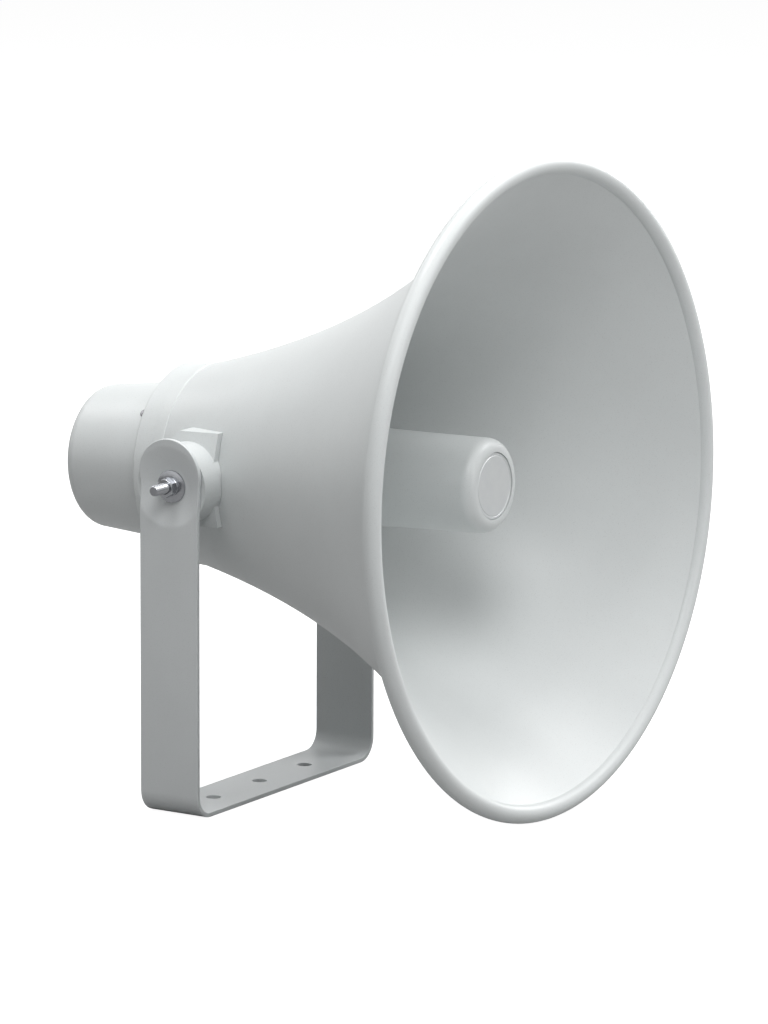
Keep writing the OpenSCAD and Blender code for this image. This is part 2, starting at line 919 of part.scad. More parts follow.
module transformer_frame() {
    color("Silver")
        on_horn()
            difference() {
                union() {
                    translate([-frame_screw_x - frame_foot, -frame_w / 2, -frame_rear])
                        cube([2 * (frame_screw_x + frame_foot), frame_w, frame_t]);
                    for (s = [-1, 1])
                        translate([s > 0 ? core_w / 2 : -core_w / 2 - frame_t, -frame_w / 2,
                            -core_rear - frame_t])
                            cube([frame_t, frame_w, core_rear - yoke_rear + frame_t]);
                    for (s = [-1, 1])
                        translate([s > 0 ? core_w / 2 - frame_tab : -core_w / 2 - frame_t, -frame_w / 2,
                            -core_rear - frame_t])
                            cube([frame_tab + frame_t, frame_w, frame_t]);
                }
                for (s = [-1, 1])
                    translate([s * frame_screw_x, 0, 0])
                        bar(frame_screw_d / 2 + fit, -frame_rear - cut, -yoke_rear + cut, small_fn);
            }
}

module transformer_core() {
    color("Gray")
        on_horn()
            difference() {
                translate([-core_w / 2, -core_h / 2, -core_rear])
                    cube([core_w, core_h, core_t]);
                for (s = [-1, 1])
                    translate([s * (leg_w + window_w / 2) - window_w / 2, -window_h / 2,
                        -core_rear - cut])
                        cube([window_w, window_h, core_t + 2 * cut]);
            }
}

module transformer_winding() {
    half_h = window_h / 2 - 0.5;
    color("Khaki")
        on_horn()
            difference() {
                translate([-winding_half_w, -half_h, -core_rear - winding_over])
                    cube([2 * winding_half_w, 2 * half_h, core_t + 2 * winding_over]);
                translate([-leg_w, -core_h / 2, -core_rear])
                    cube([2 * leg_w, core_h, core_t]);
            }
}

module frame_screws() {
    color("Silver")
        on_horn()
            for (s = [-1, 1])
                translate([s * frame_screw_x, 0, -frame_rear])
                    rotate([180, 0, 0])
                        screw(frame_screw_d, frame_t + frame_bite, frame_head_d, frame_head_h);
}

module terminal_block() {
    color("Ivory")
        on_horn()
            difference() {
                translate([-terminal_w / 2, terminal_y - terminal_h / 2, -terminal_rear])
                    cube([terminal_w, terminal_h, terminal_rear - yoke_rear]);
                on_terminals() {
                    bar(terminal_screw_r + fit, -terminal_rear - cut, -terminal_rear + terminal_sink,
                        small_fn);
                    translate([0, 0, -terminal_rear + terminal_sink - terminal_screw_r])
                        rotate([90, 0, 0])
                            cylinder(r = lead_hole_r, h = terminal_h + cut, center = true, $fn = small_fn);
                }
            }
}

module on_terminals() {
    for (i = [-1:1])
        translate([i * terminal_pitch, terminal_y, 0])
            children();
}

module terminal_screws() {
    color("Gold")
        on_horn()
            on_terminals()
                difference() {
                    bar(terminal_screw_r, -terminal_rear + 1, -terminal_rear + terminal_sink, small_fn);
                    translate([0, 0, -terminal_rear + 1])
                        cube([slot_w, 3 * terminal_screw_r, 1.4], center = true);
                }
}

// Cable gland in the rear of the cover

module on_gland() {
    on_horn()
        translate([0, -gland_drop, -cover_reach])
            children();
}

module gland_body() {
    neck_end = -gland_hex_t - gland_neck_len;
    color("Gray")
        on_gland()
            difference() {
                union() {
                    bar(gland_thread_d / 2, 0, cover_wall + gland_nut_t + 1.5, small_fn);
                    translate([0, 0, -gland_hex_t])
                        hex(gland_af, gland_hex_t);
                    bar(gland_neck_d / 2, neck_end, -gland_hex_t + cut, small_fn);
                }
                bar(gland_bore / 2, neck_end - cut, cover_reach, small_fn);
                bar(seal_d / 2, neck_end - cut, -gland_hex_t, small_fn);
            }
}

module gland_seal() {
    color("DimGray")
        on_gland()
            difference() {
                bar(seal_d / 2 - fit, -gland_hex_t - gland_neck_len, -gland_hex_t, small_fn);
                bar(seal_bore / 2, -gland_hex_t - gland_neck_len - cut, -gland_hex_t + cut, small_fn);
            }
}

module gland_cap() {
    cap_front = -gland_hex_t - 0.5;
    neck_end = -gland_hex_t - gland_neck_len;
    color("Gray")
        on_gland()
            difference() {
                union() {
                    translate([0, 0, cap_front - cap_t])
                        hex(gland_af, cap_t);
                    translate([0, 0, cap_front - cap_t - cap_nose])
                        cylinder(d1 = gland_neck_d - 1, d2 = gland_af - 1, h = cap_nose, $fn = small_fn);
                }
                bar(gland_neck_d / 2 + fit, neck_end, cap_front + cut, small_fn);
                bar(cap_bore / 2, cap_front - cap_t - cap_nose - cut, cap_front, small_fn);
            }
}

module gland_nut() {
    color("Gray")
        on_gland()
            difference() {
                translate([0, 0, cover_wall])
                    hex(gland_af, gland_nut_t);
                bar(gland_thread_d / 2 + fit, cover_wall - cut, cover_wall + gland_nut_t + cut, small_fn);
            }
}

// Hinge hardware, carried by the horn

washer_face = dish_floor;
spring_face = washer_face + washer_t;
nut_face = spring_face + spring_washer_t;
stud_end = nut_face + nut_t + stud_tail;
stud_start = seat_floor - stud_depth;
stud_edge = 0.8;

module pivot_studs() {
    color("Silver")
        on_horn()
            for (s = [-1, 1])
                on_pivot(s)
                    rotate_extrude($fn = small_fn)
                        polygon([
                            [0, stud_start],
                            [stud_d / 2, stud_start],
                            [stud_d / 2, stud_end - stud_edge],
                            [stud_d / 2 - stud_edge, stud_end],
                            [0, stud_end]
                        ]);
}

module flat_washers() {
    color("Silver")
        on_horn()
            for (s = [-1, 1])
                on_pivot(s)
                    translate([0, 0, washer_face])
                        difference() {
                            cylinder(d = washer_d, h = washer_t);
                            translate([0, 0, -cut])
                                cylinder(r = washer_hole_r, h = washer_t + 2 * cut, $fn = small_fn);
                        }
}

module spring_washers() {
    color("Silver")
        on_horn()
            for (s = [-1, 1])
                on_pivot(s)
                    translate([0, 0, spring_face])
                        difference() {
                            cylinder(d = stud_d * 1.75, h = spring_washer_t, $fn = small_fn);
                            translate([0, 0, -cut])
                                cylinder(r = washer_hole_r, h = spring_washer_t + 2 * cut,
                                    $fn = small_fn);
                            rotate([0, 0, 200])
                                translate([0, -0.6, -cut])
                                    cube([stud_d, 1.2, spring_washer_t + 2 * cut]);
                        }
}

module hinge_nuts() {
    color("Silver")
        on_horn()
            for (s = [-1, 1])
                on_pivot(s)
                    translate([0, 0, nut_face])
                        difference() {
                            hex(nut_af, nut_t);
                            translate([0, 0, -cut])
                                cylinder(r = stud_d / 2, h = nut_t + 2 * cut, $fn = small_fn);
                        }
}

u_bracket();
bell();
throat_casting();
clamp_ring();
clamp_screws();
rear_cover();
cover_gasket();
cover_screws();
reflector();
front_disc();
reflector_screw();
reflector_post();
tone_arm();
tone_arm_screws();
phase_plug();
diaphragm();
voice_coil();
diaphragm_ring();
top_plate();
magnet();
pole_yoke();
driver_screws();
transformer_frame();
transformer_core();
transformer_winding();
frame_screws();
terminal_block();
terminal_screws();
gland_body();
gland_seal();
gland_cap();
gland_nut();
pivot_studs();
flat_washers();
spring_washers();
hinge_nuts();
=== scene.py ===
import json
import math

import bmesh
import bpy
from mathutils import Matrix, Vector


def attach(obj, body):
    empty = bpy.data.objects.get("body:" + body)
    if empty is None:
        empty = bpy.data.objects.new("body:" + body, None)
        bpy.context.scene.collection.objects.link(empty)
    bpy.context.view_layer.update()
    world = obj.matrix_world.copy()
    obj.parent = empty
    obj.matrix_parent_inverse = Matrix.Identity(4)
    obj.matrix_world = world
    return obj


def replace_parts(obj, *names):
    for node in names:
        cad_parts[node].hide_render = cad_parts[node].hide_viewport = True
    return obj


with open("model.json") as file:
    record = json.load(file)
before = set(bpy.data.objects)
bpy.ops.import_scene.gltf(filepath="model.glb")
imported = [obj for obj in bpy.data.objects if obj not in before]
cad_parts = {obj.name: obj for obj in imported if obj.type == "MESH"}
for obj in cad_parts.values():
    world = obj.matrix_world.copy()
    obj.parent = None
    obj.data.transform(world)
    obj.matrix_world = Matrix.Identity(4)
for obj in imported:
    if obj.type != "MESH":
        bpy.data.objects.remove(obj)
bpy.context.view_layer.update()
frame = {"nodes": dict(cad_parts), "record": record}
NODES = frame["nodes"]
scene = bpy.context.scene
scene.view_settings.view_transform = "Standard"
MM = 0.001

# Camera, at the photograph's viewing angle
CAM_AT = (-3.811141, -2.502178, 1.10248)
CAM_RIGHT = (0.5322176, -0.8465967, 0.0042979)
CAM_UP = (0.1600931, 0.1056258, 0.9814344)
CAM_BACK = (-0.8313331, -0.5216485, 0.1917502)
cam_data = bpy.data.cameras.new("camera")
cam_data.sensor_width = 36
cam_data.lens = 216.51056
cam_data.clip_start = 0.1
cam_data.clip_end = 60
cam = bpy.data.objects.new("camera", cam_data)
scene.collection.objects.link(cam)
cam.matrix_world = Matrix((
    (CAM_RIGHT[0], CAM_UP[0], CAM_BACK[0], CAM_AT[0]),
    (CAM_RIGHT[1], CAM_UP[1], CAM_BACK[1], CAM_AT[1]),
    (CAM_RIGHT[2], CAM_UP[2], CAM_BACK[2], CAM_AT[2]),
    (0, 0, 0, 1)))
scene.camera = cam

# Sizes shared with the CAD model, in millimetres
PIVOT_H, AXIS_DROP, REST_TILT = 250, 4, 2
MOUTH_R, BEAD_R, MOUTH_REACH, BELL_REAR = 245, 7, 257, 46
BELL_REAR_R, WALL, GROWTH, LIP, CURL = 75, 1.5, 1.5, 45, 290
TUBE_R, TUBE_REACH, TUBE_REAR, TUBE_SHOULDER = 35, 207, 24, 9
ARM_INNER, STRIP_T, DISH_DEPTH = 119.046, 3.5, 5
STUD_R, STUD_TAIL, NUT_AF, NUT_T = 4, 14, 13, 6.5
WASHER_T, SPRING_T = 1.8, 2

HORN = (Matrix.Translation((0, 0, PIVOT_H * MM)) @ Matrix.Rotation(math.radians(-REST_TILT), 4, "X")
        @ Matrix.Translation((0, 0, -AXIS_DROP * MM)) @ Matrix.Rotation(math.radians(90), 4, "X"))


def fresh_tree(mat):
    """An empty material with its node tree, the shader and the output joined."""
    mat.use_nodes = True
    tree = mat.node_tree
    tree.nodes.clear()
    out = tree.nodes.new("ShaderNodeOutputMaterial")
    shader = tree.nodes.new("ShaderNodeBsdfPrincipled")
    tree.links.new(shader.outputs["BSDF"], out.inputs["Surface"])
    return tree, shader


def coords(tree, scale=(1, 1, 1), rot=(0, 0, 0)):
    tc = tree.nodes.new("ShaderNodeTexCoord")
    mp = tree.nodes.new("ShaderNodeMapping")
    mp.inputs["Scale"].default_value = scale
    mp.inputs["Rotation"].default_value = rot
    tree.links.new(tc.outputs["Object"], mp.inputs["Vector"])
    return mp.outputs["Vector"]


def noise(tree, vec, scale, detail=2, rough=0.5):
    n = tree.nodes.new("ShaderNodeTexNoise")
    n.inputs["Scale"].default_value = scale
    n.inputs["Detail"].default_value = detail
    n.inputs["Roughness"].default_value = rough
    tree.links.new(vec, n.inputs["Vector"])
    return n.outputs["Fac"]


def spread(tree, value, lo, hi, from_lo=0.25, from_hi=0.75):
    m = tree.nodes.new("ShaderNodeMapRange")
    m.inputs["From Min"].default_value = from_lo
    m.inputs["From Max"].default_value = from_hi
    m.inputs["To Min"].default_value = lo
    m.inputs["To Max"].default_value = hi
    tree.links.new(value, m.inputs["Value"])
    return m.outputs["Result"]


def math_node(tree, op, a, b):
    m = tree.nodes.new("ShaderNodeMath")
    m.operation = op
    for i, v in enumerate((a, b)):
        if isinstance(v, (int, float)):
            m.inputs[i].default_value = v
        else:
            tree.links.new(v, m.inputs[i])
    return m.outputs["Value"]


def mix_colour(tree, fac, a, b):
    m = tree.nodes.new("ShaderNodeMix")
    m.data_type = "RGBA"
    for key, v in ((0, fac), (6, a), (7, b)):
        if isinstance(v, (tuple, list)):
            m.inputs[key].default_value = (*v, 1)
        elif isinstance(v, (int, float)):
            m.inputs[key].default_value = v
        else:
            tree.links.new(v, m.inputs[key])
    return m.outputs[2]


def bump(tree, shader, height, depth, strength=1.0):
    b = tree.nodes.new("ShaderNodeBump")
    b.inputs["Distance"].default_value = depth
    b.inputs["Strength"].default_value = strength
    tree.links.new(height, b.inputs["Height"])
    tree.links.new(b.outputs["Normal"], shader.inputs["Normal"])
    return b


def paint(name, colour, rough=0.40, peel=260, depth=0.00006, shade=0.035, grain=0.0):
    """Sprayed and baked enamel: orange peel, faint cloudiness in colour and gloss, a few specks of dust."""
    mat = bpy.data.materials.new(name)
    tree, sh = fresh_tree(mat)
    vec = coords(tree)
    cloud = noise(tree, vec, 9, 4, 0.6)
    fine = noise(tree, vec, 700, 2)
    dark = tuple(c * (1 - shade) for c in colour)
    light = tuple(min(1, c * (1 + shade)) for c in colour)
    col = mix_colour(tree, spread(tree, cloud, 0, 1), dark, light)
    speck = spread(tree, noise(tree, vec, 1500, 0), 0, 0.35, 0.70, 0.76)
    col = mix_colour(tree, speck, col, tuple(c * 0.72 for c in colour))
    tree.links.new(col, sh.inputs["Base Color"])
    rr = math_node(tree, "ADD", spread(tree, cloud, rough - 0.04, rough + 0.04),
                   spread(tree, fine, -0.02, 0.02))
    tree.links.new(rr, sh.inputs["Roughness"])
    height = noise(tree, vec, peel, 3, 0.45)
    if grain:
        height = math_node(tree, "ADD", height,
                           math_node(tree, "MULTIPLY", noise(tree, vec, 900, 5, 0.7), grain))
    bump(tree, sh, height, depth)
    sh.inputs["Specular IOR Level"].default_value = 0.36
    sh.inputs["Coat Weight"].default_value = 0.08
    sh.inputs["Coat Roughness"].default_value = 0.24
    return mat


def metal(name, colour, rough=0.3, tint=None, line=(1, 1, 1), lines=0.0, depth=0.00003, metallic=1.0):
    """Plated or bare metal: cloudy gloss, fine scratches along one way, a tint that comes and goes."""
    mat = bpy.data.materials.new(name)
    tree, sh = fresh_tree(mat)
    vec = coords(tree)
    cloud = noise(tree, vec, 60, 4, 0.6)
    tint = tint or tuple(c * 0.88 for c in colour)
    tree.links.new(mix_colour(tree, spread(tree, cloud, 0, 1), colour, tint), sh.inputs["Base Color"])
    scratch = noise(tree, coords(tree, line), 900, 3, 0.6)
    tree.links.new(math_node(tree, "ADD", spread(tree, cloud, rough - 0.06, rough + 0.08),
                             spread(tree, scratch, -lines, lines)), sh.inputs["Roughness"])
    bump(tree, sh, scratch, depth)
    sh.inputs["Metallic"].default_value = metallic
    return mat


def moulded(name, colour, rough=0.5, scale=1200, depth=0.00005, shade=0.06):
    """Moulded plastic, rubber or ceramic with a fine even grain."""
    mat = bpy.data.materials.new(name)
    tree, sh = fresh_tree(mat)
    vec = coords(tree)
    cloud = noise(tree, vec, 30, 4, 0.6)
    dark = tuple(c * (1 - shade) for c in colour)
    light = tuple(min(1, c * (1 + shade)) for c in colour)
    tree.links.new(mix_colour(tree, spread(tree, cloud, 0, 1), dark, light), sh.inputs["Base Color"])
    tree.links.new(spread(tree, cloud, rough - 0.07, rough + 0.07), sh.inputs["Roughness"])
    bump(tree, sh, noise(tree, vec, scale, 3, 0.6), depth)
    return mat


def banded(name, colour, other, rough, direction, period, metallic=0.0, depth=0.00006):
    """Bands across one direction, such as laminations, wire turns or a laid-up sheet."""
    mat = bpy.data.materials.new(name)
    tree, sh = fresh_tree(mat)
    w = tree.nodes.new("ShaderNodeTexWave")
    w.bands_direction = direction
    w.inputs["Scale"].default_value = 0.314 / period
    w.inputs["Distortion"].default_value = 0.4
    w.inputs["Detail"].default_value = 1
    w.inputs["Detail Scale"].default_value = 3
    tree.links.new(coords(tree), w.inputs["Vector"])
    cloud = noise(tree, coords(tree), 80, 3)
    col = mix_colour(tree, w.outputs["Fac"], colour, other)
    col = mix_colour(tree, spread(tree, cloud, 0, 0.25), col, tuple(c * 0.6 for c in colour))
    tree.links.new(col, sh.inputs["Base Color"])
    tree.links.new(spread(tree, cloud, rough - 0.05, rough + 0.08), sh.inputs["Roughness"])
    bump(tree, sh, w.outputs["Fac"], depth)
    sh.inputs["Metallic"].default_value = metallic
    return mat


GREY = (0.65, 0.675, 0.675)
STEEL_GREY = (0.665, 0.69, 0.695)
M = {
    "painted_steel": paint("painted_steel", STEEL_GREY, 0.40, 240, 0.00006),
    "painted_aluminium": paint("painted_aluminium", GREY, 0.40, 210, 0.00005),
    "painted_casting": paint("painted_casting", GREY, 0.44, 200, 0.00010, 0.04, 0.35),
    "bare_aluminium": metal("bare_aluminium", (0.80, 0.80, 0.80), 0.34, (0.70, 0.71, 0.72), (1, 1, 12), 0.05),
    "disc_aluminium": metal("disc_aluminium", (0.66, 0.68, 0.68), 0.42, (0.60, 0.62, 0.63), (12, 1, 1), 0.06,
                            0.00002, 0.35),
    "zinc_steel": metal("zinc_steel", (0.45, 0.46, 0.48), 0.19, (0.33, 0.34, 0.36), (1, 1, 5), 0.04, 0.00001),
    # Near-black screw finish: painted shade, standing for the shadow inside the cover screws' counterbores
    "screw_painted_shade": metal("screw_painted_shade", (0.20, 0.20, 0.21), 0.34, (0.14, 0.14, 0.15), (1, 1, 5), 0.04, 0.00001),
    "plated_steel": metal("plated_steel", (0.62, 0.63, 0.65), 0.30, (0.52, 0.53, 0.55), (5, 1, 1), 0.05),
    "core_steel": banded("core_steel", (0.34, 0.35, 0.37), (0.20, 0.20, 0.22), 0.45, "Y", 0.5 * MM, 0.9),
    "ferrite": moulded("ferrite", (0.055, 0.055, 0.06), 0.55, 900, 0.00010, 0.2),
    "gasket_rubber": moulded("gasket_rubber", (0.045, 0.045, 0.047), 0.72, 1600, 0.00006, 0.15),
    "black_plastic": moulded("black_plastic", (0.03, 0.03, 0.032), 0.42, 1400, 0.00004, 0.1),
    "grey_plastic": moulded("grey_plastic", (0.33, 0.35, 0.36), 0.44, 1500, 0.00004, 0.05),
    "terminal_plastic": moulded("terminal_plastic", (0.78, 0.76, 0.68), 0.40, 1500, 0.00003, 0.03),
    "terminal_brass": metal("terminal_brass", (0.80, 0.62, 0.30), 0.28, (0.68, 0.50, 0.24), (1, 6, 1), 0.05),
    "phenolic": banded("phenolic", (0.36, 0.17, 0.07), (0.26, 0.11, 0.05), 0.45, "X", 0.9 * MM),
    "copper_winding": banded("copper_winding", (0.62, 0.27, 0.12), (0.36, 0.13, 0.06), 0.35, "Y", 0.6 * MM, 0.7),
    "wound_coil": banded("wound_coil", (0.80, 0.62, 0.30), (0.60, 0.44, 0.18), 0.5, "Z", 0.9 * MM),
}


def slot_of(node):
    """The record's material slot of a CAD node, whichever way the record lists it."""
    for sub in frame["record"].get("subparts", []):
        if sub.get("node") == node or sub.get("name") == node:
            return sub.get("material_slot") or sub.get("slot")
    for m in frame["record"].get("materials", []):
        if node in (m.get("nodes") or m.get("applies_to") or []):
            return m.get("slot")
    return None


def smooth(obj, angle=35):
    for p in obj.data.polygons:
        p.use_smooth = True
    obj.data.set_sharp_from_angle(angle=math.radians(angle))


def lathe(name, profile, slot, segments=192, angle=30, transform=HORN):
    """A turned piece round z from closed or open (radius, z) points in millimetres; radius 0 makes a pole."""
    bm = bmesh.new()
    rings = []
    for r, z in profile:
        if r < 1e-6:
            rings.append([bm.verts.new((0, 0, z * MM))])
        else:
            rings.append([bm.verts.new((r * MM * math.cos(2 * math.pi * i / segments),
                                        r * MM * math.sin(2 * math.pi * i / segments), z * MM))
                          for i in range(segments)])
    pairs = list(zip(rings, rings[1:]))
    if profile[0][0] > 1e-6 or profile[-1][0] > 1e-6:
        pairs.append((rings[-1], rings[0]))
    for a, b in pairs:
        if len(a) == 1 and len(b) == 1:
            continue
        for i in range(segments):
            j = (i + 1) % segments
            vs = [a[i % len(a)], a[j % len(a)], b[j % len(b)], b[i % len(b)]]
            bm.faces.new(list(dict.fromkeys(vs)))
    bmesh.ops.recalc_face_normals(bm, faces=bm.faces[:])
    bm.transform(transform)
    return finish_mesh(name, bm, slot, angle)


def finish_mesh(name, bm, slot, angle=30, finish=None):
    me = bpy.data.meshes.new(name)
    bm.to_mesh(me)
    bm.free()
    obj = bpy.data.objects.new(name, me)
    scene.collection.objects.link(obj)
    me.materials.append(M[finish or slot])
    smooth(obj, angle)
    return obj


# Bell: one spun sheet whose edge is rolled outward
curl_r = BEAD_R - WALL / 2
curl_cr, curl_cm = MOUTH_R - BEAD_R, MOUTH_REACH - BEAD_R
lip = math.radians(LIP)
flare_end_r = curl_cr - curl_r * math.cos(lip)
flare_end_m = curl_cm + curl_r * math.sin(lip)
flare_start_r = BELL_REAR_R - WALL / 2
flare_len = flare_end_m + BELL_REAR
rise = flare_end_r - flare_start_r
exp_slope = GROWTH * math.exp(GROWTH) / (math.exp(GROWTH) - 1)
late = (math.tan(lip) * flare_len / rise - exp_slope) / (10 - exp_slope)


def flare(t, side):
    r = (flare_start_r + (1 - late) * rise * (math.exp(GROWTH * t) - 1) / (math.exp(GROWTH) - 1)
         + late * rise * t ** 10)
    slope = ((1 - late) * rise * GROWTH * math.exp(GROWTH * t) / (math.exp(GROWTH) - 1)
             + late * rise * 10 * t ** 9) / flare_len
    a = math.atan(slope)
    return (r + side * math.cos(a), -BELL_REAR + t * flare_len - side * math.sin(a))


def curl(s, side):
    a = lip + s * math.radians(CURL)
    return (curl_cr - (curl_r - side) * math.cos(a), curl_cm + (curl_r - side) * math.sin(a))


NECK = 1.5
neck_arc = math.acos(1 - NECK / BEAD_R)
neck_t = math.sqrt(BEAD_R ** 2 - (BEAD_R - NECK) ** 2) / (flare_len / math.cos(lip))


def neck(t):
    """How far the sheet is drawn in behind the rolled edge."""
    d = max(0.0, (t - 0.88) / 0.12)
    return NECK * d * d * (3 - 2 * d)


def bell_profile():
    out = [flare(i / 90, WALL / 2 + neck(i / 90)) for i in range(91)]
    out += [curl(i / 40, WALL / 2) for i in range(3, 41)]
    out += [curl(i / 40, -WALL / 2) for i in range(40, -1, -1)]
    out += [curl(-i / 8 * math.degrees(neck_arc) / CURL, -WALL / 2) for i in range(1, 9)]
    out += [flare(i / 120 * (1 - neck_t), -WALL / 2 + neck(i / 120 * (1 - neck_t))) for i in range(119, -1, -1)]
    inner = flare_start_r - 13.75
    out += [(inner, -BELL_REAR + WALL / 2), (inner, -BELL_REAR - WALL / 2)]
    return out


bell = lathe("bell_sheet", bell_profile(), "painted_aluminium", 256, 24)
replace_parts(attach(bell, "horn"), "bell")


# Reflector tube with its rounded shoulder and the seat for the disc
def tube_outer(m):
    return TUBE_R - 0.2 + 13 * math.exp(-m / 58)


def reflector_profile():
    shoulder_m = TUBE_REACH - TUBE_SHOULDER
    front_r = tube_outer(TUBE_REACH)
    pocket = front_r - TUBE_SHOULDER - 1.1
    floor = TUBE_REACH - 2

    def side(inset):
        wall = [(tube_outer(-TUBE_REAR + (shoulder_m + TUBE_REAR) * i / 50) - inset,
                 -TUBE_REAR + (shoulder_m + TUBE_REAR) * i / 50) for i in range(51)]
        corner = [(front_r - TUBE_SHOULDER + (TUBE_SHOULDER - inset) * math.cos(math.radians(6 * i)),
                   shoulder_m + (TUBE_SHOULDER - inset) * math.sin(math.radians(6 * i))) for i in range(1, 16)]
        return wall + corner
    return (side(0) + [(pocket, TUBE_REACH), (pocket, floor), (2.8, floor), (2.8, floor - 1.5),
                       (pocket - 1.5, floor - 1.5)] + side(1.5)[::-1])


tube = lathe("reflector_tube", reflector_profile(), "painted_aluminium", 160, 35)
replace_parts(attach(tube, "horn"), "reflector")


def seat_ring(points, r, m, radius, steps=4):
    """Adds a small rounded corner to a turned profile."""
    for i in range(steps + 1):
        a = math.pi / 2 * i / steps
        points.append((r - radius + radius * math.cos(a), m + radius * math.sin(a)))


def disc_profile():
    pocket = tube_outer(TUBE_REACH) - TUBE_SHOULDER - 1.1
    r, floor = pocket - 0.3, TUBE_REACH - 2
    out = [(5.8, floor), (r, floor)]
    seat_ring(out, r, floor + 0.75, 0.45)
    out += [(r - 1.6, floor + 1.2), (r - 1.9, floor + 0.95), (r - 2.4, floor + 0.95), (r - 2.7, floor + 1.2)]
    out += [(0, floor + 1.2), (0, floor + 0.95), (5.8, floor + 0.9)]
    return out


disc = lathe("front_plate", disc_profile(), "disc_aluminium", 128, 30)
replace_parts(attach(disc, "horn"), "front_disc")


# Rear cover: a drawn drum with a rounded rear edge, a faint step round its back and a turned-in front edge
COVER_FRONT, COVER_REACH, COVER_R, COVER_REAR_R, COVER_ROUND, COVER_WALL = 69.5, 144, 61, 53.5, 12, 2.5
TAPER = (COVER_R - COVER_REAR_R) / (COVER_REACH - COVER_FRONT)


def cover_profile():
    straight = COVER_REACH - COVER_ROUND
    mid_r = COVER_R - TAPER * (straight - COVER_FRONT) - COVER_ROUND

    def edge(inset):
        return [(mid_r + (COVER_ROUND - inset) * math.cos(math.radians(5 * i)),
                 -straight - (COVER_ROUND - inset) * math.sin(math.radians(5 * i))) for i in range(19)]

    out = [(COVER_R - COVER_WALL, -COVER_FRONT), (COVER_R - 0.7, -COVER_FRONT), (COVER_R - 0.2, -COVER_FRONT - 0.25),
           (COVER_R - 0.05, -COVER_FRONT - 0.8)]
    out += [(COVER_R - TAPER * d, -COVER_FRONT - d) for d in (6, 20, 34, 48, 60.6)]
    out += edge(0)
    out += [(mid_r - 4, -COVER_REACH), (mid_r - 4.6, -COVER_REACH + 0.35), (mid_r - 5.2, -COVER_REACH + 0.35),
            (mid_r - 5.8, -COVER_REACH), (0, -COVER_REACH), (0, -COVER_REACH + COVER_WALL)]
    return out + edge(COVER_WALL)[::-1]


def cutter(matrix, radius, depth, segments=48):
    bm = bmesh.new()
    bmesh.ops.create_cone(bm, cap_ends=True, segments=segments, radius1=radius * MM, radius2=radius * MM,
                          depth=depth * MM, matrix=matrix)
    me = bpy.data.meshes.new("cutter")
    bm.to_mesh(me)
    bm.free()
    obj = bpy.data.objects.new("cutter", me)
    scene.collection.objects.link(obj)
    return obj


def carve(obj, cutters, angle=30):
    """Cuts the cutters out of obj and removes them."""
    for c in cutters:
        m = obj.modifiers.new("cut", "BOOLEAN")
        m.operation = "DIFFERENCE"
        m.solver = "EXACT"
        m.object = c
    bake(obj)
    for c in cutters:
        bpy.data.objects.remove(c)
    smooth(obj, angle)
    return obj


def bake(obj):
    """Puts what the modifiers make into the mesh."""
    bpy.context.view_layer.update()
    deps = bpy.context.evaluated_depsgraph_get()
    made = bpy.data.meshes.new_from_object(obj.evaluated_get(deps))
    obj.modifiers.clear()
    obj.data = made
    return obj


def on_cover_screw(i):
    return (HORN @ Matrix.Rotation(math.radians(45 + 90 * i), 4, "Z")
            @ Matrix.Translation((0, 0, -(COVER_FRONT + 5) * MM)) @ Matrix.Rotation(math.pi / 2, 4, "Y"))


def at(z):
    return Matrix.Translation((0, 0, z * MM))


cover = lathe("cover_drum", cover_profile(), "painted_aluminium", 192, 40)
cuts = [cutter(on_cover_screw(i) @ at(COVER_R), 3.6, 2.6) for i in range(4)]
cuts += [cutter(on_cover_screw(i) @ at(COVER_R), 2.3, 8) for i in range(4)]
cuts.append(cutter(HORN @ Matrix.Translation((0, -25 * MM, -COVER_REACH * MM)), 8.3, 8))
carve(cover, cuts, 40)
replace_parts(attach(cover, "horn"), "rear_cover")


def join(name, parts, slot, angle=30, finish=None):
    """One piece from several bmeshes."""
    whole = bmesh.new()
    for part in parts:
        me = bpy.data.meshes.new("part")
        part.to_mesh(me)
        part.free()
        whole.from_mesh(me)
        bpy.data.meshes.remove(me)
    return finish_mesh(name, whole, slot, angle, finish)


def rings_mesh(rings, matrix, closed=False):
    """A skin over rings of equal length; the ends are capped unless the rings close on themselves."""
    bm = bmesh.new()
    made = [[bm.verts.new((x * MM, y * MM, z * MM)) for x, y, z in ring] for ring in rings]
    pairs = list(zip(made, made[1:])) + ([(made[-1], made[0])] if closed else [])
    for a, b in pairs:
        for i in range(len(a)):
            j = (i + 1) % len(a)
            bm.faces.new((a[i], a[j], b[j], b[i]))
    if not closed:
        bm.faces.new(made[0])
        bm.faces.new(made[-1])
    bmesh.ops.recalc_face_normals(bm, faces=bm.faces[:])
    bm.transform(matrix)
    return bm


def turned(radii, segments=96):
    """Rings for a turned profile of (radius, z)."""
    return [[(r * math.cos(2 * math.pi * i / segments), r * math.sin(2 * math.pi * i / segments), z)
             for i in range(segments)] for r, z in radii]


def pan_screw(matrix):
    """Slotted pan-head screw: domed head with a rounded rim, slot cut across it, plain shank."""
    head = [(2, -6.1), (2, 0.02), (3.1, 0.02), (3.3, 0.2), (3.3, 0.55), (3.18, 0.8), (2.85, 1.0), (2.2, 1.13),
            (1.2, 1.19), (0.2, 1.2)]
    return rings_mesh(turned(head, 48), matrix)
